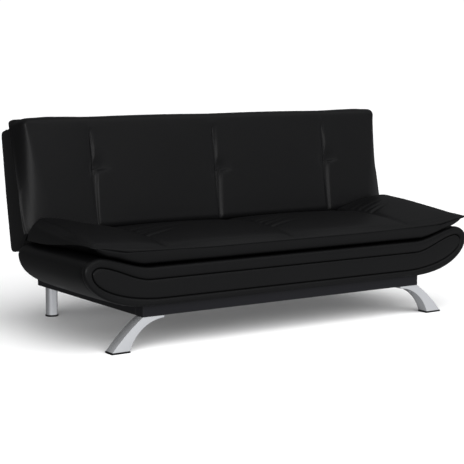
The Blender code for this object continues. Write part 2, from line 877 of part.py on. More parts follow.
LEATHER = material("black_leather", (0.012, 0.012, 0.013), 0.42)
RAIL_PAINT = material("black_rail_paint", (0.018, 0.018, 0.021), 0.45, 0.2)
CHROME = material("chrome", (0.72, 0.73, 0.75), 0.18, 1.0)
STEEL = material("zinc_steel", (0.45, 0.45, 0.44), 0.35, 1.0)
BLACK_PLASTIC = material("black_plastic", (0.02, 0.02, 0.02), 0.5)
TIMBER = material("pine", (0.55, 0.38, 0.22), 0.7)
CLOTH = material("black_cloth", (0.03, 0.03, 0.03), 0.95)
FOAM = material("foam", (0.75, 0.70, 0.50), 0.95)

make_plinth()
for side_name, side_sign in SIDES:
    front_leg(side_name, side_sign)
    rear_leg(side_name, side_sign)

base_blocks()
fascia()
seat_frame()
dust_cover()
seat_pad()

back_parts = [back_cover(), back_pad(), *back_frame(), *hinges()]
hang(back_parts, empty("back_axis", PIVOT))
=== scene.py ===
"""The looks of the click-clack futon sofa bed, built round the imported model. Metres, +Z up."""

import json
import math

import bmesh
import bpy
import numpy as np
from mathutils import Matrix, Vector


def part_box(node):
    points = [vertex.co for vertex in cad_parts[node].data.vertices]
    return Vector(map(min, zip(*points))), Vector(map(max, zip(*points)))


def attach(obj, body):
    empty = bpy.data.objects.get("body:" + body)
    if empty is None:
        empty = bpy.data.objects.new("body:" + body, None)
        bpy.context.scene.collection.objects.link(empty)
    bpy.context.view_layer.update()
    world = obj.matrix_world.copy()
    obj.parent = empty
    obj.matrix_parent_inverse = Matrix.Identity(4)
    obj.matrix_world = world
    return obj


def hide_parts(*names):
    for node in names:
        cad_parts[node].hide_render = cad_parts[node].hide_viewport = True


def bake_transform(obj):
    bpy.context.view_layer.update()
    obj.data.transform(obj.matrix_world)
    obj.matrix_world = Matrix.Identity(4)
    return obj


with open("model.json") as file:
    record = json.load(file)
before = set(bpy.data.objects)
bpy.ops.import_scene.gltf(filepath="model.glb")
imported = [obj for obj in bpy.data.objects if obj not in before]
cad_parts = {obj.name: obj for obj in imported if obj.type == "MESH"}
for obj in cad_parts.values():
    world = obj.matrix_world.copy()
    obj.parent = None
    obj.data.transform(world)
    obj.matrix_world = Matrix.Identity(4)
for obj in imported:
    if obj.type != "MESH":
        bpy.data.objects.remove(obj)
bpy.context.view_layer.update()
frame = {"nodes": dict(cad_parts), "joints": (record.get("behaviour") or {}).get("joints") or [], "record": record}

NODES = frame["nodes"]

# ---- sizes read from the frame ------------------------------------------------------------------
HINGE = next(j for j in frame["joints"] if j["name"] == "back_recline")
PIVOT_Y, PIVOT_Z = HINGE["pos_m"][1:]
LEAN = math.radians(11.8)  # recline of the back at rest

APRON_LOW, APRON_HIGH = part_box("seat_front_apron")
NOSE = APRON_HIGH.x + 0.0025  # furthest reach of the upturned ends
KEEL = APRON_LOW.z
BASE_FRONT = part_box("seat_fascia_panel")[0].y
BASE_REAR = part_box("seat_rear_apron")[1].y
FASCIA_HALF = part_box("seat_fascia_panel")[1].x
PAD_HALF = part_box("seat_pad")[1].x
PAD_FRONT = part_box("seat_pad")[0].y
BACK_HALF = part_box("back_cover")[1].x
SLOT_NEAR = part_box("seat_rear_apron")[1].x  # the hinges stand in slots from here ...
SLOT_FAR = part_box("seat_end_bolster_right")[0].x  # ... to here

NOSE_Z = 0.316  # height of the tips of the upturned ends
KEEL_END = 0.650  # the flat bottom of the boat shape ends here
DECK_MID, DECK_END = 0.316, 0.366  # top of the base in the middle, and near its ends
DECK_RISE, DECK_RUN = 0.64, 0.24  # where the top starts to rise, and over what length
DECK_ROUND = 0.85  # the top turns down to the tips from here
FASCIA_TIP = 0.307  # height of the two ends of the racetrack fascia
CASING_LOW, CASING_HIGH = 0.010, 0.494  # lowest and highest edge of the back's casing, up from the pivot
SEAT_TAIL = 0.050  # the seat cushion draws in to its pointed ends over this
CHANNELS = (-0.583, 0.0, 0.583)  # sewn lines of the seat
# each sewn line of the back: where it runs, how far up the back its blind tuft sits, how wide it gapes
BACK_LINES = ((-0.592, 0.303, 0.65), (-0.008, 0.275, 0.95), (0.570, 0.294, 0.72))

PUFF_PRESSURE, PUFF_FRAMES = 3.0, 20  # the cushions' cloth simulation
PUFF_LIMIT = 0.006  # no point of a cushion moves further than this
TINY = 1e-6


# ---- shared shape functions ---------------------------------------------------------------------
def ease(t):
    """From 0 at t 0 to 1 at t 1, level at both."""
    t = np.clip(t, 0.0, 1.0)
    return t * t * (3.0 - 2.0 * t)


def quarter(t):
    """Quarter ellipse: 1 at t 0, 0 at t 1, square to both axes."""
    return np.sqrt(np.clip(1.0 - np.clip(t, 0.0, 1.0) ** 2, 0.0, 1.0))


def keel(x):
    """Underside of the boat-shaped base."""
    return NOSE_Z - (NOSE_Z - KEEL) * quarter((np.abs(x) - KEEL_END) / (NOSE - KEEL_END))


def deck(x):
    """Top of the boat-shaped base."""
    rise = DECK_MID + (DECK_END - DECK_MID) * ease((np.abs(x) - DECK_RISE) / DECK_RUN)
    return NOSE_Z + (rise - NOSE_Z) * quarter((np.abs(x) - DECK_ROUND) / (NOSE - DECK_ROUND))


def from_back(up, forward):
    """World (y, z) of points given up along the leaning back and forward of it, from the pivot."""
    s, c = math.sin(LEAN), math.cos(LEAN)
    return PIVOT_Y + up * s - forward * c, PIVOT_Z + up * c + forward * s


def stations(half, fine_at=(), coarse=0.013, fine=0.004, reach=0.026, tail=0.0, tail_steps=0):
    """Places along X from -half to half: finer round the sewn lines and towards the ends."""
    flat = half - tail
    right = [0.0]
    spots = sorted({abs(x) for x in fine_at})
    while right[-1] < flat - TINY:
        here = right[-1]
        near = any(spot - reach - TINY <= here < spot + reach - TINY for spot in spots)
        marks = [mark for spot in spots for mark in (spot - reach, spot, spot + reach)]
        step = fine if near else coarse
        stop = min([flat] + [mark for mark in marks if mark > here + TINY])
        right.append(stop if here + 1.4 * step >= stop else here + step)
    right += [flat + tail * math.sin(math.pi / 2 * k / tail_steps) for k in range(1, tail_steps + 1)]
    return np.array([-x for x in reversed(right) if x > 0.0] + right)


def corner(centre, radii, start, end, steps=6):
    """An elliptic arc of (a, b) points about a centre, angles in degrees."""
    angles = np.radians(np.linspace(start, end, steps + 1))
    return [(centre[0] + radii[0] * math.cos(t), centre[1] + radii[1] * math.sin(t)) for t in angles]


def path_run(path):
    """Distance from the start of a path to each of its points."""
    steps = np.linalg.norm(np.diff(np.asarray(path, float), axis=0), axis=1)
    return np.concatenate([[0.0], np.cumsum(steps)])


def along(path, shares):
    """Points at these shares of an open path's length."""
    path, run = np.asarray(path, float), path_run(path)
    return np.stack([np.interp(shares * run[-1], run, path[:, i]) for i in range(path.shape[1])], axis=1)


def share_at(path, first):
    """Share of a path's length where its first coordinate reaches a value."""
    run = path_run(path)
    return float(np.interp(first, np.asarray(path, float)[:, 0], run)) / run[-1]


# ---- mesh helpers -------------------------------------------------------------------------------
def face_outward(mesh, fill_holes=False):
    """Turn every face outward, after closing the holes if that is asked."""
    shape = bmesh.new()
    shape.from_mesh(mesh)
    if fill_holes:
        bmesh.ops.holes_fill(shape, edges=[edge for edge in shape.edges if edge.is_boundary])
    bmesh.ops.recalc_face_normals(shape, faces=shape.faces)
    shape.to_mesh(mesh)
    shape.free()


def add_object(name, mesh):
    made = bpy.data.objects.new(name, mesh)
    bpy.context.scene.collection.objects.link(made)
    return made


def skin(name, rings, finish):
    """Mesh over rows of closed rings. Points that meet are one vertex, so a flat row sews itself shut.
    Returns the object and each ring point's vertex number."""
    rings = np.asarray(rings, float)
    rows, around = rings.shape[:2]
    flat = rings.reshape(-1, 3)
    _, first, back = np.unique(np.round(flat, 5), axis=0, return_index=True, return_inverse=True)
    order = np.argsort(first)
    rank = np.empty_like(order)
    rank[order] = np.arange(len(order))
    index = rank[back.reshape(-1)].reshape(rows, around)
    points = flat[first[order]]
    faces = []
    for r in range(rows - 1):
        for j in range(around):
            k = (j + 1) % around
            loop = [index[r, j], index[r, k], index[r + 1, k], index[r + 1, j]]
            loop = [int(v) for n, v in enumerate(loop) if v != loop[n - 1]]
            if len(set(loop)) >= 3:
                faces.append(loop)
    mesh = bpy.data.meshes.new(name)
    mesh.from_pydata(points.tolist(), [], faces)
    face_outward(mesh)
    mesh.shade_smooth()
    mesh.materials.append(finish)
    return add_object(name, mesh), index


def coords(mesh):
    out = np.empty(len(mesh.vertices) * 3, np.float32)
    mesh.vertices.foreach_get("co", out)
    return out.reshape(-1, 3).astype(float)


def settle(piece):
    """Replace a piece's mesh by the one its modifiers make."""
    evaluated = piece.evaluated_get(bpy.context.evaluated_depsgraph_get())
    mesh = bpy.data.meshes.new_from_object(evaluated)
    piece.modifiers.clear()
    old = piece.data
    piece.data = mesh
    mesh.name = old.name
    bpy.data.meshes.remove(old)


def finer(piece):
    """Subdivide a piece once."""
    subdivide = piece.modifiers.new("finer", "SUBSURF")
    subdivide.levels = subdivide.render_levels = 1
    settle(piece)


def puff(piece, held):
    """Blow a cover up by cloth simulation, with the held vertices pinned."""
    group = piece.vertex_groups.new(name="held")
    group.add([int(v) for v in np.nonzero(held)[0]], 1.0, "REPLACE")
    before = coords(piece.data)
    cloth = piece.modifiers.new("cloth", "CLOTH")
    rules = cloth.settings
    rules.quality = 5
    rules.mass = 0.3
    rules.vertex_group_mass = "held"
    rules.pin_stiffness = 1.0
    rules.tension_stiffness = rules.compression_stiffness = 15.0
    rules.shear_stiffness = 5.0
    rules.bending_stiffness = 0.5
    rules.use_pressure = True
    rules.uniform_pressure_force = PUFF_PRESSURE
    rules.effector_weights.gravity = 0.0
    cloth.point_cache.frame_start = 1
    cloth.point_cache.frame_end = PUFF_FRAMES
    scene = bpy.context.scene
    for number in range(1, PUFF_FRAMES + 1):
        scene.frame_set(number)
        bpy.context.view_layer.update()
    move = coords(piece.evaluated_get(bpy.context.evaluated_depsgraph_get()).data) - before
    piece.modifiers.remove(cloth)
    piece.vertex_groups.remove(group)
    scene.frame_set(1)
    far = np.linalg.norm(move, axis=1)
    move *= (PUFF_LIMIT * np.tanh(far / PUFF_LIMIT) / np.maximum(far, 1e-9))[:, None]
    piece.data.vertices.foreach_set("co", (before + move).astype(np.float32).ravel())
    piece.data.update()


# ---- camera and studio --------------------------------------------------------------------------
def map_range(nodes, links, value, given, wanted):
    """Value over the given range turned smoothly into the wanted range."""
    made = nodes.new("ShaderNodeMapRange")
    made.interpolation_type = "SMOOTHSTEP"
    made.inputs["From Min"].default_value, made.inputs["From Max"].default_value = given
    made.inputs["To Min"].default_value, made.inputs["To Max"].default_value = wanted
    links.new(value, made.inputs["Value"])
    return made.outputs["Result"]


def combine(nodes, links, operation, first, second):
    made = nodes.new("ShaderNodeMath")
    made.operation = operation
    links.new(first, made.inputs[0])
    links.new(second, made.inputs[1])
    return made.outputs["Value"]


def surroundings():
    """White to the camera. What lights the sofa is graded: brightest from the front, dim from behind,
    with a little from straight above and from the floor."""
    world = bpy.data.worlds.new("studio")
    world.use_nodes = True
    nodes, links = world.node_tree.nodes, world.node_tree.links
    nodes.clear()
    generated = nodes.new("ShaderNodeTexCoord").outputs["Generated"]
    towards = nodes.new("ShaderNodeVectorMath")
    towards.operation = "DOT_PRODUCT"
    towards.inputs[1].default_value = (0.20, -0.95, 0.24)
    links.new(generated, towards.inputs[0])
    apart = nodes.new("ShaderNodeSeparateXYZ")
    links.new(generated, apart.inputs["Vector"])
    height = apart.outputs["Z"]
    graded = map_range(nodes, links, towards.outputs["Value"], (-0.55, 0.75), (0.12, 0.55))
    upper = map_range(nodes, links, height, (-0.10, 0.22), (1.0, 0.68))
    from_below = map_range(nodes, links, height, (-0.35, -0.65), (0.0, 0.30))
    from_above = map_range(nodes, links, height, (0.30, 0.75), (0.0, 0.25))
    strength = combine(nodes, links, "MULTIPLY", graded, upper)
    strength = combine(nodes, links, "MAXIMUM", strength, from_below)
    strength = combine(nodes, links, "MAXIMUM", strength, from_above)
    fill = nodes.new("ShaderNodeBackground")
    fill.inputs["Color"].default_value = (0.97, 0.98, 1.0, 1.0)
    links.new(strength, fill.inputs["Strength"])
    white = nodes.new("ShaderNodeBackground")
    white.inputs["Color"].default_value = (1.0, 1.0, 1.0, 1.0)
    white.inputs["Strength"].default_value = 1.05
    mix = nodes.new("ShaderNodeMixShader")
    links.new(nodes.new("ShaderNodeLightPath").outputs["Is Camera Ray"], mix.inputs["Fac"])
    links.new(fill.outputs["Background"], mix.inputs[1])
    links.new(white.outputs["Background"], mix.inputs[2])
    links.new(mix.outputs["Shader"], nodes.new("ShaderNodeOutputWorld").inputs["Surface"])
    bpy.context.scene.world = world


def studio():
    """Camera, pale floor, white surroundings and soft lights."""
    scene = bpy.context.scene
    lens = bpy.data.cameras.new("camera")
    lens.lens, lens.sensor_width = 107.3, 36.0
    lens.clip_end = 200.0
    camera = add_object("camera", lens)
    camera.location = (-3.2008, -4.7906, 1.08)
    camera.rotation_euler = (math.radians(82.83), 0.0, math.radians(-33.81))
    scene.camera = camera
    scene.view_settings.view_transform = "Standard"
    surroundings()

    mesh = bpy.data.meshes.new("studio_floor")
    wide = 60.0
    corners = [(-wide, -wide, 0), (wide, -wide, 0), (wide, wide, 0), (-wide, wide, 0)]
    mesh.from_pydata(corners, [], [(0, 1, 2, 3)])
    floor = add_object("studio_floor", mesh)
    paint = bpy.data.materials.new("floor_paint")
    paint.use_nodes = True
    shader = paint.node_tree.nodes["Principled BSDF"]
    shader.inputs["Base Color"].default_value = (0.86, 0.86, 0.86, 1.0)
    shader.inputs["Roughness"].default_value = 0.9
    shader.inputs["Specular IOR Level"].default_value = 0.0
    shader.inputs["Emission Color"].default_value = (1.0, 1.0, 1.0, 1.0)
    shader.inputs["Emission Strength"].default_value = 0.07
    mesh.materials.append(paint)
    floor.visible_glossy = False
    floor.visible_diffuse = False

    sun = bpy.data.lights.new("overhead", "SUN")
    sun.energy = 4.3
    sun.angle = math.radians(76.0)
    lamp = add_object("overhead", sun)
    lamp.rotation_euler = (math.radians(48.0), math.radians(-5.0), 0.0)
    lamp.visible_glossy = False

    aim = Vector((0.0, 0.0, 0.45))
    for name, place, size, power in (
        ("softbox_left", (-5.0, -3.8, 1.6), (2.8, 2.4), 100.0),
        ("softbox_behind", (-2.4, -6.2, 2.0), (2.8, 2.0), 13.0),
        ("softbox_top", (1.7, -2.0, 3.6), (3.6, 2.8), 14.0),
        ("softbox_front", (0.4, -6.0, 3.1), (2.8, 1.8), 14.0),
    ):
        area = bpy.data.lights.new(name, "AREA")
        area.shape = "RECTANGLE"
        area.size, area.size_y = size
        area.energy = power
        lamp = add_object(name, area)
        lamp.location = place
        lamp.rotation_euler = (aim - Vector(place)).to_track_quat("-Z", "Y").to_euler()


# ---- materials ----------------------------------------------------------------------------------
def principled(name, colour, roughness, **more):
    """A material with a Principled shader; more holds its other sockets' values, _ for a space."""
    made = bpy.data.materials.new(name)
    made.use_nodes = True
    shader = made.node_tree.nodes["Principled BSDF"]
    shader.inputs["Base Color"].default_value = (*colour, 1.0)
    shader.inputs["Roughness"].default_value = roughness
    for socket, value in more.items():
        shader.inputs[socket.replace("_", " ")].default_value = value
    return made, made.node_tree.nodes, made.node_tree.links, shader


def place_in(nodes, links, scale=(1.0, 1.0, 1.0)):
    """Object coordinates in metres, stretched by scale."""
    spot = nodes.new("ShaderNodeTexCoord")
    mapping = nodes.new("ShaderNodeMapping")
    mapping.inputs["Scale"].default_value = scale
    links.new(spot.outputs["Object"], mapping.inputs["Vector"])
    return mapping.outputs["Vector"]


def noise(nodes, links, vector, scale, detail=2.0, rough=0.5):
    made = nodes.new("ShaderNodeTexNoise")
    made.inputs["Scale"].default_value = scale
    made.inputs["Detail"].default_value = detail
    made.inputs["Roughness"].default_value = rough
    links.new(vector, made.inputs["Vector"])
    return made.outputs["Fac"]


def ramp(nodes, links, value, low, high):
    """Value from 0 to 1 turned into low to high, numbers or colours."""
    colour = isinstance(low, tuple)
    if colour:
        made = nodes.new("ShaderNodeMix")
        made.data_type = "RGBA"
        made.inputs[6].default_value = (*low, 1.0)
        made.inputs[7].default_value = (*high, 1.0)
        links.new(value, made.inputs[0])
        return made.outputs[2]
    made = nodes.new("ShaderNodeMapRange")
    made.inputs["To Min"].default_value = low
    made.inputs["To Max"].default_value = high
    links.new(value, made.inputs["Value"])
    return made.outputs["Result"]


def bump(nodes, links, shader, height, distance, strength=1.0):
    made = nodes.new("ShaderNodeBump")
    made.inputs["Distance"].default_value = distance
    made.inputs["Strength"].default_value = strength
    links.new(height, made.inputs["Height"])
    if shader.inputs["Normal"].is_linked:
        links.new(shader.inputs["Normal"].links[0].from_socket, made.inputs["Normal"])
    links.new(made.outputs["Normal"], shader.inputs["Normal"])


def leather():
    """Satin black faux leather: pebbled grain, faint cloudiness and slightly polished patches."""
    black = (0.0031, 0.0031, 0.0033)
    made, nodes, links, shader = principled("leather", black, 0.40, Specular_IOR_Level=0.17)
    vector = place_in(nodes, links)
    cells = nodes.new("ShaderNodeTexVoronoi")
    cells.feature = "DISTANCE_TO_EDGE"
    cells.inputs["Scale"].default_value = 520.0
    links.new(vector, cells.inputs["Vector"])
    pebble = ramp(nodes, links, cells.outputs["Distance"], 0.0, 1.0)
    bump(nodes, links, shader, pebble, 0.00025, 0.5)
    bump(nodes, links, shader, noise(nodes, links, vector, 60.0, 3.0), 0.0006, 0.35)
    cloud = noise(nodes, links, vector, 7.0, 4.0)
    links.new(ramp(nodes, links, cloud, 0.34, 0.43), shader.inputs["Roughness"])
    colour = ramp(nodes, links, cloud, (0.0029, 0.0029, 0.0031), (0.0034, 0.0034, 0.0036))
    links.new(colour, shader.inputs["Base Color"])
    return made


def lacquer():
    """Satin black lacquer, with the grain of the timber faintly through it."""
    black = (0.0058, 0.0058, 0.0074)
    made, nodes, links, shader = principled("lacquer", black, 0.38, Specular_IOR_Level=0.24)
    vector = place_in(nodes, links, (2.0, 40.0, 40.0))
    bump(nodes, links, shader, noise(nodes, links, vector, 6.0, 4.0), 0.0004, 0.3)
    patch = noise(nodes, links, place_in(nodes, links), 9.0)
    links.new(ramp(nodes, links, patch, 0.33, 0.44), shader.inputs["Roughness"])
    return made


def chrome():
    """Satin chrome plate, slightly milky, with very fine brushing."""
    made, nodes, links, shader = principled("chrome", (0.70, 0.71, 0.73), 0.22, Metallic=0.73)
    vector = place_in(nodes, links, (1.0, 1.0, 12.0))
    brushed = noise(nodes, links, vector, 140.0, 3.0)
    bump(nodes, links, shader, brushed, 0.00008, 0.25)
    links.new(ramp(nodes, links, brushed, 0.18, 0.28), shader.inputs["Roughness"])
    return made


def zinc():
    """Zinc plate with its faint spangle."""
    made, nodes, links, shader = principled("zinc", (0.45, 0.45, 0.44), 0.35, Metallic=1.0)
    vector = place_in(nodes, links)
    spangle = nodes.new("ShaderNodeTexVoronoi")
    spangle.inputs["Scale"].default_value = 160.0
    links.new(vector, spangle.inputs["Vector"])
    links.new(ramp(nodes, links, spangle.outputs["Distance"], 0.26, 0.48), shader.inputs["Roughness"])
    bump(nodes, links, shader, noise(nodes, links, vector, 300.0), 0.00005, 0.4)
    return made


def plastic():
    """Moulded black plastic with a fine, dull texture."""
    black = (0.006, 0.006, 0.0065)
    made, nodes, links, shader = principled("moulded_plastic", black, 0.5, Specular_IOR_Level=0.12)
    bump(nodes, links, shader, noise(nodes, links, place_in(nodes, links), 900.0), 0.00006, 0.5)
    return made


def pine():
    """Sawn and planed softwood with long streaks."""
    made, nodes, links, shader = principled("pine", (0.55, 0.38, 0.22), 0.7)
    vector = place_in(nodes, links, (1.5, 14.0, 14.0))
    streak = noise(nodes, links, vector, 7.0, 5.0, 0.6)
    colour = ramp(nodes, links, streak, (0.42, 0.27, 0.13), (0.68, 0.50, 0.31))
    links.new(colour, shader.inputs["Base Color"])
    bump(nodes, links, shader, streak, 0.0005, 0.4)
    return made


def cloth():
    """Non-woven black cloth."""
    black = (0.02, 0.02, 0.02)
    made, nodes, links, shader = principled("black_cloth", black, 0.95, Specular_IOR_Level=0.2)
    vector = place_in(nodes, links)
    fibre = noise(nodes, links, vector, 700.0, 4.0, 0.7)
    bump(nodes, links, shader, fibre, 0.0003, 0.7)
    colour = ramp(nodes, links, fibre, (0.012, 0.012, 0.012), (0.032, 0.032, 0.032))
    links.new(colour, shader.inputs["Base Color"])
    return made


def foam():
    """Open-cell upholstery foam."""
    made, nodes, links, shader = principled("foam", (0.75, 0.70, 0.50), 0.95, Specular_IOR_Level=0.1)
    vector = place_in(nodes, links)
    cells = nodes.new("ShaderNodeTexVoronoi")
    cells.inputs["Scale"].default_value = 450.0
    links.new(vector, cells.inputs["Vector"])
    bump(nodes, links, shader, cells.outputs["Distance"], 0.0006, 0.8)
    cloud = noise(nodes, links, vector, 12.0)
    colour = ramp(nodes, links, cloud, (0.70, 0.64, 0.44), (0.79, 0.74, 0.55))
    links.new(colour, shader.inputs["Base Color"])
    return made


studio()
LEATHER, LACQUER, CHROME, ZINC = leather(), lacquer(), chrome(), zinc()
PLASTIC, PINE, CLOTH, FOAM = plastic(), pine(), cloth(), foam()
FINISHES = {
    "leather": LEATHER,
    "rail_black": LACQUER,
    "chrome": CHROME,
    "zinc_steel": ZINC,
    "black_plastic": PLASTIC,
    "pine": PINE,
    "black_cloth": CLOTH,
    "foam": FOAM,
}
for part in frame["record"]["subparts"]:
    for place in NODES[part["node"]].material_slots:
        place.material = FINISHES[part["material_slot"]]


# ---- the cushions -------------------------------------------------------------------------------
def valley(x, spots, width):
    """1 on each sewn line, falling away on both sides."""
    return sum(np.exp(-np.abs(x - spot) / width) for spot in spots)


def crown(x, lines):
    """0 on the lines, 1 in the middle of the panel between them."""
    marks = np.array(sorted(lines))
    place = np.clip(np.searchsorted(marks, x) - 1, 0, len(marks) - 2)
    share = (x - marks[place]) / (marks[place + 1] - marks[place])
    return 1.0 - np.abs(2.0 * np.clip(share, 0.0, 1.0) - 1.0) ** 2.6


def spread(length, fine, coarse, growth=1.35):
    """Shares of a length, from 0 to 1, in steps that grow from fine at both ends to coarse."""
    steps = []
    step = fine
    while step < coarse:
        steps.append(step)
        step *= growth
    middle = max(1, round((length - 2 * sum(steps)) / coarse))
    run = np.cumsum([0.0] + steps + [coarse] * middle + steps[::-1])
    return run / run[-1]


def outward(ring):
    """Unit normals of a closed ring of (a, b) points that runs clockwise."""
    run = np.roll(ring, -1, axis=0) - np.roll(ring, 1, axis=0)
    normal = np.stack([-run[:, 1], run[:, 0]], axis=1)
    return normal / np.maximum(np.linalg.norm(normal, axis=1), 1e-9)[:, None]


def seat_top(x, y):
    """Height of the seat cushion's top before it is puffed; its ends rise, most towards the back."""
    curl = ease((np.abs(x) - 0.50) / 0.36)
    crest = 0.010 * ease((y + 0.40) / 0.26) - 0.017 * ease((y + 0.11) / 0.14)
    return 0.413 + curl * (0.016 + 0.031 * ease((y + 0.42) / 0.40)) + (1.0 - curl) * crest


def seat_seam(x):
    """Height of the seam round the front of the seat cushion."""
    out = np.abs(x)
    return 0.375 + 0.005 * ease((out - 0.35) / 0.25) + 0.021 * ease((out - 0.74) / 0.14)


def seat_section(x, shares):
    """Cut through the seat cushion at x: a closed ring of (y, z) points, over the top from the front
    seam to the back, then back along the underside."""
    tail, tail_low = SEAT_TAIL, 0.085  # the top and the underside draw in over these at the ends
    front_dome, rear_roll, front_round, rear_round = 0.200, 0.020, 0.034, 0.012
    out = abs(x)
    t = min(1.0, max(0.0, out - (PAD_HALF - tail)) / tail)
    t_low = min(1.0, max(0.0, out - (PAD_HALF - tail_low)) / tail_low)
    raised = ease((out - 0.48) / 0.10)  # the raised ends stand clear of the back as it comes forward
    front = PAD_FRONT + 0.010 * t * t
    rear = 0.056 - 0.008 * raised
    rear_low = 0.068
    seam = seat_seam(x)
    low = max(deck(min(out, DECK_ROUND)) + 0.002, 0.3205)
    top = []
    for y in front + front_dome * (1.0 - np.cos(np.linspace(0.0, math.pi / 2, 26))):
        dome = (1.0 - (1.0 - (y - front) / front_dome) ** 2.3) ** (1 / 2.1)
        top.append((y, seam + (seat_top(x, y) - seam) * dome))
    top += [(y, seat_top(x, y)) for y in np.linspace(front + front_dome + 0.01, rear - rear_roll, 18)]
    edge = seat_top(x, rear - rear_roll)
    top += corner((rear - rear_roll, edge - rear_roll), (rear_roll, rear_roll), 80, 20, 4)
    middle = (rear + 0.018 - 0.017 * raised, (edge + low) / 2)
    bottom = corner((front + front_round, seam), (front_round, seam - low), 180, 270, 8)
    bottom += [(y, low) for y in np.linspace(front + front_round + 0.01, rear_low, 20)]
    bottom += corner((rear_low, low + rear_round), (rear_round, rear_round), -80, 0, 4)
    upper, lower = along(top + [middle], shares), along(bottom + [middle], shares)
    waist = (upper + lower) / 2
    back_share = ease((waist[:, 0] + 0.42) / 0.40)[:, None]
    waist[:, 1] = 0.410 - 0.030 * back_share[:, 0]  # height of the point at each end
    upper = waist + (upper - waist) * (1.0 - t * t) ** (0.72 - 0.24 * back_share)
    lower = waist + (lower - waist) * (1.0 - t_low * t_low) ** (1.20 - 0.55 * back_share)
    return np.concatenate([upper, lower[-2:0:-1]])


def seat_cushion():
    """Pillow top: a sewn top in four panels over a boxing, its ends curled up to pointed corners."""
    top_run = 0.62  # rough length of the top from the front seam to the back
    xs = stations(PAD_HALF, CHANNELS, tail=SEAT_TAIL, tail_steps=10)
    shares = spread(top_run, 0.003, 0.0085)
    half = len(shares) - 1
    around = 2 * half
    j = np.arange(around)
    on_top = j <= half
    share = shares[np.where(on_top, j, (around - j) % around)]
    length = top_run * share  # from the front seam, over the top or along the underside
    seam_groove = 0.0065 * np.exp(-((length / 0.0032) ** 2))
    top_mask = np.where(on_top, ease((length - 0.012) / 0.035) * ease((0.60 - length) / 0.05), 0.0)
    sewn_mask = np.where(on_top, ease((length - 0.022) / 0.020) * ease((0.62 - length) / 0.03), 0.0)
    boxing = np.where(on_top, 0.0, np.sin(math.pi * np.clip(length / 0.075, 0.0, 1.0)))
    rings = []
    for x in xs:
        ring = seat_section(x, shares)
        full = 1.0 - ease((abs(x) - 0.86) / 0.046)  # 0 at the pointed ends
        lift = full * (0.0085 * crown(x, (-0.93, *CHANNELS, 0.93)) * top_mask + 0.0030 * boxing)
        lift = lift - 0.0100 * valley(x, CHANNELS, 0.011) * sewn_mask - seam_groove
        lift = lift + 0.0046 * gathers(x, ring[:, 0]) * top_mask
        moved = ring + outward(ring) * lift[:, None] if full > 0.0 else ring
        rings.append(np.column_stack([np.full(around, x), moved]))
    piece, index = skin("seat_cushion", rings, LEATHER)
    seams = (share < 0.003) | np.where(on_top, length > 0.55, length > 0.09)
    held = np.zeros(len(piece.data.vertices), bool)
    for r, x in enumerate(xs):
        on_line = min(abs(x - spot) for spot in CHANNELS) < 0.001
        held[index[r, seams | (abs(x) > 0.895) | (on_line & (sewn_mask > 0.3))]] = True
    puff(piece, held)
    finer(piece)
    return piece


def gathers(x, y):
    """Small folds that leave each channel slantwise, towards the rear and the right."""
    total = np.zeros(len(y))
    for number, (spot, folds, reach) in enumerate(zip(CHANNELS, (6, 6, 4), (1.0, 0.95, 0.55))):
        for k in range(folds):
            start = -0.085 - 0.043 * k - 0.006 * math.sin(2.7 * k + 1.9 * number)
            length = reach * (0.25 + 0.22 * math.sin(math.pi * (k + 0.7) / 6.0))
            angle = math.radians(24.0 + 3.5 * math.sin(1.7 * k + number))
            run = (x - spot) * math.cos(angle) + (y - start) * math.sin(angle)
            across = (y - start) * math.cos(angle) - (x - spot) * math.sin(angle) + 0.10 * run * run
            fade = ease(run / 0.020) * (1.0 - ease((run - 0.35 * length) / (0.65 * length)))
            depth = 0.80 + 0.20 * math.sin(4.1 * k + number)
            furrow = np.exp(-((across / 0.0075) ** 2))
            ridge = 0.35 * np.exp(-(((across - 0.016) / 0.010) ** 2))
            total = total - depth * fade * (furrow - ridge)
    return total * ease((0.035 - y) / 0.03)


def nearest_line(x):
    """The entry of BACK_LINES nearest to x."""
    return min(BACK_LINES, key=lambda entry: abs(x - entry[0]))


def channel(beside, rise, gape, fade):
    """How deep a sewn line of the back sinks, beside it and above or below its blind tuft.
    Its left flank is steep and its right flank flares, most just under the tuft."""
    sunk = np.clip(-rise / 0.20, 0.0, 1.0)  # 0 at the tuft, 1 well below it
    opened = ease((0.030 - rise) / 0.030)  # 0 above the tuft, 1 below it
    depth = (0.0150 + 0.0080 * opened - 0.0080 * sunk) * fade
    below = np.clip(rise, -1.0, 0.0)
    dimple = np.exp(-((np.clip(rise, 0.0, 1.0) / 0.042) ** 2))
    if beside > 0.0:
        flared = 0.0340 + 0.0220 * np.exp(below / 0.012) - 0.0170 * sunk
        flank = gape * np.where(rise > 0.0, 0.0190 + 0.0060 * opened, flared)
        groove = np.clip(1.0 - beside / flank, 0.0, 1.0) ** 1.25
        wide, fall = 0.042, np.exp(below / 0.005)
    else:
        groove = math.exp(beside / 0.0070)
        wide, fall = 0.034, np.exp(-((below / 0.030) ** 2))
    tuck = dimple * fall * math.exp(-((abs(beside - 0.012) / wide) ** 2.6))
    return np.maximum(depth * groove, 0.0150 * tuck)


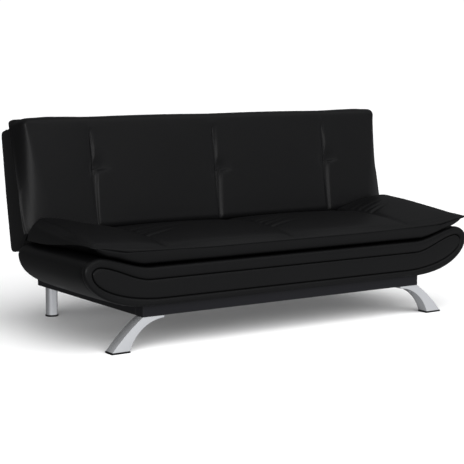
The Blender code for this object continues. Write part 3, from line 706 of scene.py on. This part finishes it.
def back_cushion():
    """Front cushion of the back: three sewn channels, each caught by a blind tuft.
    Its section is a ring of (up, forward) points: up the front, then down the rear."""
    low, high = (0.064, 0.0640), (0.524, 0.058)  # where the front and the rear meet
    tail_low, tail_high = 0.118, 0.034  # the ends round off softly low down, tighter near the top
    round_top = 0.026  # rounding of the top corners
    face_low, face_high, lean = 0.105, 0.496, 0.016  # the face comes forward by lean on its way up
    reach = BACK_HALF + 0.016
    lines = tuple(line for line, _, _ in BACK_LINES)
    xs = stations(reach, lines, fine=0.0032, reach=0.030, tail=tail_low, tail_steps=22)
    face = [(up, 0.101 + lean * (up - face_low) / (face_high - face_low))
            for up in np.linspace(face_low, face_high, 40)]
    front_path = [low] + corner((0.086, 0.080), (0.022, 0.021), 178, 95, 7) + face
    front_path += corner((0.500, 0.091), (0.024, 0.026), 86, 0, 8) + [high]
    rear_path = [low, (0.10, 0.0620), (0.30, 0.0500), (0.516, 0.0378)]
    rear_path += corner((0.518, 0.044), (0.006, 0.006), -80, 0, 3) + [high]
    below, above = share_at(front_path, 0.235), share_at(front_path, 0.335)  # finer at the tufts
    shares = [share for share in np.linspace(0.0, 1.0, 46) if not below < share < above]
    shares = np.sort(np.concatenate([shares, np.linspace(below, above, 28)]))
    half = len(shares) - 1
    section = np.concatenate([along(front_path, shares), along(rear_path, shares)[-2:0:-1]])
    around = len(section)
    j = np.arange(around)
    on_front = j <= half
    mirror = (around - j) % around
    waist = (section + section[mirror]) / 2
    waist[:, 1] = np.where(on_front, section[mirror, 1], section[:, 1]) - 0.014
    normal = outward(section)
    up = section[:, 0]
    facing = np.where(on_front, ease((section[:, 1] - 0.080) / 0.018), 0.0)
    fade = ease((0.490 - up) / 0.05)
    upright = 1.0 - np.abs(2.0 * np.clip((up - 0.08) / 0.43, 0.0, 1.0) - 1.0) ** 3.0
    tail = tail_low + (tail_high - tail_low) * np.clip((up - 0.10) / 0.40, 0.0, 1.0)
    high_share = np.clip((up - 0.500) / round_top, 0.0, 1.0)
    inset = round_top * (1.0 - np.sqrt(1.0 - high_share**2))
    rings = []
    for x in xs:
        t = np.clip((abs(x) - (reach - tail)) / tail, 0.0, 1.0)
        thin = (1.0 - t**1.8) ** (1 / 1.8)
        line, tuft, gape = nearest_line(x)
        lift = 0.0075 * crown(x, (-0.95, *lines, 0.95)) * (0.35 + 0.65 * upright)
        lift = facing * (lift - channel(x - line, up - tuft, gape, fade))
        ring = section + normal * (lift * np.minimum(1.0, (1.0 - t) * 3.0))[:, None]
        ring = waist + (ring - waist) * thin[:, None]
        y, z = from_back(ring[:, 0], ring[:, 1])
        across = x - math.copysign(1.0, x) * inset * ease((abs(x) - (reach - 0.10)) / 0.10)
        rings.append(np.column_stack([across, y, z]))
    piece, index = skin("back_cushion", rings, LEATHER)
    sewn = (facing > 0.2) & (up < 0.488)
    seams = ~on_front | ((facing < 0.02) & (up < 0.4))
    held = np.zeros(len(piece.data.vertices), bool)
    for r, x in enumerate(xs):
        line, tuft, _ = nearest_line(x)
        near = abs(x - line)
        caught = (near < 0.012) & (np.abs(up - tuft) < 0.004)
        held[index[r, seams | caught | ((near < 0.001) & sewn)]] = True
    puff(piece, held)
    finer(piece)
    return piece


# ---- the upholstered seat base ------------------------------------------------------------------
def fascia_top(x):
    """Upper seam of the racetrack fascia."""
    out, turn = np.abs(x), 0.852
    height = 0.2685 + 0.062 * ease((out - 0.64) / 0.235)
    return FASCIA_TIP + (height - FASCIA_TIP) * quarter((out - turn) / (FASCIA_HALF - turn))


def fascia_low(x):
    """Lower seam of the racetrack fascia."""
    turn, drop = 0.58, 0.111
    return FASCIA_TIP - drop * quarter((np.abs(x) - turn) / (FASCIA_HALF - turn))


def seat_base():
    """Boat-shaped base in one skin: fascia panel, fat border roll round it, deck, ends and keel."""
    bend = 0.60  # the outline is straight up to here
    notch = (SLOT_NEAR, SLOT_NEAR + 0.0015, SLOT_FAR - 0.0015, SLOT_FAR)
    inner = sorted(set(np.round(np.concatenate([np.arange(0.0, bend, 0.015), [bend]]), 4)))
    swing = np.sin(np.linspace(0.0, math.pi / 2, 46)[1:])
    outer = [x for x in bend + (NOSE - bend) * swing if min(abs(x - n) for n in notch) > 0.003]
    right = np.array(sorted(inner + outer + list(notch)))
    xs = np.concatenate([-right[:0:-1], right])
    # the outline runs along the top from left to right, then back along the bottom
    way = np.concatenate([xs, xs[-2:0:-1]])
    out = np.abs(way)
    is_top = np.arange(len(way)) < len(xs)
    rim = np.column_stack([way, np.where(is_top, deck(way), keel(way))])
    drawn_in = bend + (out - bend) * (FASCIA_HALF - bend) / (NOSE - bend)
    squeeze = np.sign(way) * np.where(out > bend, drawn_in, out)
    seam = np.column_stack([squeeze, np.where(is_top, fascia_top(squeeze), fascia_low(squeeze))])
    spine = np.column_stack([squeeze * 0.985, (fascia_top(squeeze) + fascia_low(squeeze)) / 2])
    hub = np.column_stack([way * 0.93, (deck(way) + keel(way)) / 2])
    normal = outward(rim)
    face = BASE_FRONT + 0.0115  # plane that the roll and the panel stand proud of
    slot = (out > SLOT_NEAR + 0.001) & (out < SLOT_FAR - 0.001)
    slot_end = -0.150

    rings = []

    def ring(flat, depth):
        depth = np.broadcast_to(depth, len(way))
        rings.append(np.column_stack([flat[:, 0], depth, flat[:, 1]]))

    for share in (0.0, 0.3, 0.55, 0.75, 0.86, 0.93, 0.97, 0.99):
        ring(spine + (seam - spine) * share, face - 0.0085 * math.sqrt(1.0 - share**5))
    ring(seam, face + 0.0035)
    drape = pulls(way, is_top)
    for angle in (12, 28, 46, 66, 88, 110, 132, 154, 172):
        turn = math.radians(angle)
        share = (1.0 - math.cos(turn)) / 2
        roll = face - (0.0115 + 0.6 * drape * share) * math.sin(turn) + 0.002 * (1 - share)
        ring(seam + (rim - seam) * share, roll)
    soft = np.where(is_top, 0.6, 1.0)
    under = ~is_top & (out < SLOT_NEAR - 0.004)  # the dust cover closes this part of the underside
    # how far behind the face each ring lies, and how far the cover swells there
    for back, swell in (
        (0.003, 0.0008), (0.008, 0.0012), (0.013, 0.0003), (0.017, -0.0018), (0.020, -0.0038),
        (0.0235, -0.0018), (0.032, 0.0002), (0.050, 0.0014), (0.10, 0.0022), (0.16, 0.0028), (0.22, 0.0030),
        (0.28, 0.0030), (0.2875, 0.0030), (0.34, 0.0028), (0.40, 0.0024), (0.46, 0.0020), (0.515, 0.0012),
        (0.535, 0.0004), (0.547, -0.0014), (0.553, -0.0042), (0.5555, -0.0085),
    ):
        depth = np.full(len(way), face + back)
        depth[slot] = np.minimum(depth[slot], slot_end)
        lift = swell * soft + drape * math.exp(-((back - 0.02) / 0.05) ** 2)
        if 0.045 < back < 0.52:
            lift = np.where(under, -0.0045, lift)
        ring(rim + normal * lift[:, None], depth)
    rear = np.where(slot, slot_end, BASE_REAR) - 0.0035
    for share, depth in ((0.92, 0.0), (0.8, 0.001), (0.6, 0.0025), (0.3, 0.0035), (0.0, 0.004)):
        ring(hub + (rim - hub) * share, rear + np.where(slot, 0.0, depth))
    piece, _ = skin("seat_base", rings, LEATHER)
    finer(piece)
    return piece


def pulls(x, is_top):
    """Slight drag folds in the cover where it is drawn round the bottom corners of the boat."""
    out, first = np.abs(x), 0.60
    fade = ease((out - first) / 0.06) * ease((0.84 - out) / 0.08)
    return np.where(is_top, 0.0, 0.0016 * fade * np.sin((out - first) * 210.0 + 0.8 * np.sign(x)))


# ---- the casing of the back ---------------------------------------------------------------------
def casing_section(lowest, shares):
    """Front and rear halves of the casing's section, in (up, forward) points, from lowest up."""
    high = CASING_HIGH
    front = [(lowest, -0.046), (lowest, -0.010)]
    front += corner((lowest + 0.010, -0.006), (0.010, 0.010), 180, 90, 4)
    front += [(0.060, 0.050 if lowest == CASING_LOW else 0.048)]
    front += corner((0.068, 0.053), (0.008, 0.008), 150, 85, 3) + [(0.30, 0.0485)]
    front += corner((high - 0.010, 0.0270), (0.010, 0.010), 80, 0, 4) + [(high, -0.020)]
    rear = [(lowest, -0.046)] + corner((lowest + 0.014, -0.087), (0.014, 0.016), 180, 275, 6)
    rear += [(0.25, -0.0955)]
    rear += corner((high - 0.011, -0.0680), (0.011, 0.011), -85, 0, 6) + [(high, -0.020)]
    return along(front, shares), along(rear, shares)


def back_casing():
    """Upholstered casing of the back, with soft edges and a slot under it for each hinge."""
    edge, half = 0.007, BACK_HALF + 0.006
    notch = (0.6368, 0.6380, 0.6528, 0.6540)
    slot_low = 0.037
    inner = [x for x in np.arange(0.0, half - edge, 0.022) if min(abs(x - n) for n in notch) > 0.006]
    ends = half - edge + edge * np.sin(np.linspace(0.0, math.pi / 2, 5))
    right = np.array(sorted(inner + list(notch) + list(ends)))
    xs = np.concatenate([-right[:0:-1], right])
    shares = spread(0.60, 0.004, 0.022)
    rings = []
    for x in xs:
        t = min(1.0, max(0.0, abs(x) - (half - edge)) / edge)
        draw = edge * (1.0 - math.sqrt(1.0 - t * t))
        slotted = notch[1] - 0.0002 < abs(x) < notch[2] + 0.0002
        front, rear = casing_section(slot_low if slotted else CASING_LOW, shares)
        ring = np.concatenate([front, rear[-2:0:-1]])
        middle = (front + rear) / 2
        hub = np.concatenate([middle, middle[-2:0:-1]])
        soft = 0.0035 * math.sin(math.pi * min(1.0, (half - abs(x)) / 0.30) / 2)
        behind = ring[:, 1] < -0.06
        swell = soft * np.sin(math.pi * np.clip((ring[:, 0] - 0.02) / 0.48, 0.0, 1.0)) * behind
        ring = ring + outward(ring) * (swell - draw)[:, None]
        rings.append(np.column_stack([np.full(len(ring), x), *from_back(ring[:, 0], ring[:, 1])]))
    caps = []
    for share, bulge in ((0.93, 0.0006), (0.75, 0.0016), (0.4, 0.0024), (0.0, 0.0026)):
        flat = hub + (ring - hub) * share
        place = np.full(len(ring), half + bulge)
        caps.append(np.column_stack([place, *from_back(flat[:, 0], flat[:, 1])]))
    mirror = [cap * np.array([-1.0, 1.0, 1.0]) for cap in reversed(caps)]
    piece, _ = skin("back_casing", mirror + rings + caps, LEATHER)
    finer(piece)
    return piece


# ---- the gusset in the crevice ------------------------------------------------------------------
def gusset():
    """Pleated, thinly padded strip that lies folded in the crevice.
    Returns it with the two points between which it arcs round the pivot."""
    half, radius = 0.84, 0.0985  # half its length, and its distance from the pivot
    start, end = math.radians(143.0), math.radians(120.0)
    count, pleats, fold = 40, 3, 0.0055

    def about_pivot(angle, far):
        return PIVOT_Y + far * math.cos(angle), PIVOT_Z + far * math.sin(angle)

    rings = []
    for x in np.linspace(-half, half, 57):
        thin = 0.0035 * (1.0 - 0.8 * ease((abs(x) / half - 0.97) / 0.03))
        sides = []
        for face in (1.0, -1.0):
            path = []
            for s in np.linspace(0.0, 1.0, count + 1):
                far = radius + fold * (math.cos(2 * math.pi * pleats * s) - 1.0)
                far += face * thin * math.sin(math.pi * min(1.0, 4 * s, 4 * (1 - s)) / 2 + 1e-3)
                path.append(about_pivot(start + (end - start) * s, far))
            sides.append(path)
        ring = np.array(sides[0] + sides[1][::-1])
        rings.append(np.column_stack([np.full(len(ring), x), ring]))
    piece, _ = skin("crevice_gusset", rings, LEATHER)
    face_outward(piece.data, fill_holes=True)
    piece.data.shade_smooth()
    return piece, (0.0, *about_pivot(start, radius)), (0.0, *about_pivot(end, radius))


# ---- the legs -----------------------------------------------------------------------------------
def circle_through(start, middle, end, steps):
    """Points on the circle arc from start through middle to end."""
    a, b, c = Vector(start), Vector(middle), Vector(end)
    across = 2.0 * ((a.x - c.x) * (b.y - c.y) - (b.x - c.x) * (a.y - c.y))
    p, q = a.length_squared - c.length_squared, b.length_squared - c.length_squared
    centre_x = (p * (b.y - c.y) - q * (a.y - c.y)) / across
    centre_y = (q * (a.x - c.x) - p * (b.x - c.x)) / across
    centre = Vector((centre_x, centre_y))
    first = a - centre
    total = first.angle_signed(c - centre)
    points = []
    for k in range(steps + 1):
        arm = first.copy()
        arm.rotate(Matrix.Rotation(-total * k / steps, 2))
        points.append(tuple(centre + arm))
    return points


def front_leg(side, sign):
    """Curved flat-band leg in satin chrome, its edges eased, with a recess round each bolt head."""
    low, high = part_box(f"front_leg_{side}")
    root = 0.578  # inner end of the leg's top
    outer = circle_through((0.6705, high.z), (0.748, 0.062), (0.801, low.z), 40)
    inner = circle_through((0.7262, low.z), (0.681, 0.0755), (root, 0.1185), 40)
    outline = outer + inner + [(root, high.z)]
    verts = [(sign * x, y, z) for y in (low.y, high.y) for x, z in outline]
    count = len(outline)
    faces = [tuple(range(count)), tuple(range(2 * count - 1, count - 1, -1))]
    faces += [(k, (k + 1) % count, count + (k + 1) % count, count + k) for k in range(count)]
    mesh = bpy.data.meshes.new(f"front_leg_band_{side}")
    mesh.from_pydata(verts, [], faces)
    face_outward(mesh)
    mesh.materials.append(CHROME)
    leg = add_object(f"front_leg_band_{side}", mesh)
    bevel = leg.modifiers.new("eased edges", "BEVEL")
    bevel.width, bevel.segments = 0.0022, 3
    bevel.limit_method, bevel.angle_limit = "ANGLE", math.radians(40.0)
    settle(leg)
    radius, depth, past_head = 0.0085, 0.060, 0.0055  # of the recess
    for spot in ("inner", "outer"):
        head_low, head_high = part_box(f"front_leg_bolt_{side}_{spot}")
        middle = (head_low + head_high) / 2
        place = Matrix.Translation((middle.x, middle.y, head_low.z + past_head - depth / 2))
        tool_mesh = bpy.data.meshes.new("recess")
        tool_shape = bmesh.new()
        bmesh.ops.create_cone(
            tool_shape, cap_ends=True, segments=32,
            radius1=radius, radius2=radius, depth=depth, matrix=place,
        )
        tool_shape.to_mesh(tool_mesh)
        tool_shape.free()
        tool = add_object("recess", tool_mesh)
        cut = leg.modifiers.new("recess", "BOOLEAN")
        cut.operation, cut.object = "DIFFERENCE", tool
        settle(leg)
        bpy.data.objects.remove(tool)
    leg.data.shade_smooth()
    leg.data.set_sharp_from_angle(angle=math.radians(30.0))
    return leg


def front_foot(side):
    """Moulded pad that cups the foot of a front leg, with rounded corners and an eased rim."""
    low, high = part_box(f"front_leg_pad_{side}")
    proud, round_corner, tall = 0.0035, 0.005, 0.0072
    half_x, half_y = (high.x - low.x) / 2 + proud, (high.y - low.y) / 2 + proud
    x, y = (low.x + high.x) / 2, (low.y + high.y) / 2
    rings = [[(x, y, 0.0)]]
    for inset, height in (
        (0.010, 0.0), (0.0012, 0.0), (0.0003, 0.0004), (0.0, 0.0012),
        (0.0, tall - 0.0016), (0.0005, tall - 0.0004), (0.0016, tall), (0.010, tall),
    ):
        reach = max(round_corner - inset, 0.0004)
        shift = max(0.0, inset - round_corner)
        shrink_x, shrink_y = 1 - shift / half_x, 1 - shift / half_y
        flat = []
        for start, (cx, cy) in zip((0, 90, 180, 270), ((1, 1), (-1, 1), (-1, -1), (1, -1))):
            centre = (cx * (half_x - round_corner), cy * (half_y - round_corner))
            flat += corner(centre, (reach, reach), start, start + 90, 6)
        rings.append([(x + u * shrink_x, y + v * shrink_y, height) for u, v in flat])
    rings.append([(x, y, tall)])
    rings[0], rings[-1] = rings[0] * len(flat), rings[-1] * len(flat)
    piece, _ = skin(f"front_leg_foot_{side}", rings, PLASTIC)
    piece.data.set_sharp_from_angle(angle=math.radians(40.0))
    return piece


def turned(name, node, outline, finish, steps=64):
    """Turn an outline about a node's upright axis; sharp where it bends sharply. Its points are how far
    outside the node's radius they lie, or None on the axis, and their height."""
    low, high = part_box(node)
    x, y = (low.x + high.x) / 2, (low.y + high.y) / 2
    turn = np.linspace(0.0, 2 * math.pi, steps, endpoint=False)
    rings = []
    for outside, height in outline:
        radius = 0.0 if outside is None else (high.x - low.x) / 2 + outside
        around = [x + radius * np.cos(turn), y + radius * np.sin(turn), np.full(steps, height)]
        rings.append(np.column_stack(around))
    piece, _ = skin(name, rings, finish)
    piece.data.set_sharp_from_angle(angle=math.radians(40.0))
    return piece


def rear_leg(side):
    """Round chrome tube with eased rims, open below where its cap goes in."""
    node = f"rear_leg_{side}"
    low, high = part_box(node)
    ease_by, wall, plug = 0.0006, 0.002, 0.016
    outline = [
        (None, high.z), (-ease_by, high.z), (0.0, high.z - ease_by), (0.0, 0.010), (0.0, low.z + ease_by),
        (-ease_by, low.z), (-wall, low.z), (-wall, plug), (None, plug),
    ]
    return turned(f"rear_leg_tube_{side}", node, outline, CHROME)


def rear_cap(side):
    """Moulded cap: a dished rim on the floor, and the plug inside the tube."""
    node = f"rear_leg_cap_{side}"
    _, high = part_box(node)
    outline = [
        (None, 0.0), (-0.0002, 0.0), (0.0007, 0.0004), (0.0010, 0.0012), (0.0010, 0.0056),
        (0.0004, 0.0066), (-0.0010, 0.0070), (-0.0040, 0.0070), (-0.0040, high.z), (None, high.z),
    ]
    return turned(f"rear_leg_foot_{side}", node, outline, PLASTIC)


# ---- the pieces, and what each one rides on and stands for ---------------------------------------
seat = seat_cushion()
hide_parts("seat_pad")
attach(seat, "base")

back = back_cushion()
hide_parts("back_pad")
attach(back, "back")

base = seat_base()
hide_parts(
    "seat_front_apron",
    "seat_rear_apron",
    "seat_end_bolster_left",
    "seat_end_bolster_right",
    "seat_fascia_panel",
)
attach(base, "base")

casing = back_casing()
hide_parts("back_cover")
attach(casing, "back")

crevice, crevice_start, crevice_end = gusset()
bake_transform(crevice)

for side_name, side_sign in (("left", -1.0), ("right", 1.0)):
    for made, node, slot_name in (
        (front_leg(side_name, side_sign), f"front_leg_{side_name}", "chrome"),
        (front_foot(side_name), f"front_leg_pad_{side_name}", "black_plastic"),
        (rear_leg(side_name), f"rear_leg_{side_name}", "chrome"),
        (rear_cap(side_name), f"rear_leg_cap_{side_name}", "black_plastic"),
    ):
        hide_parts(node)
        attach(made, "base")
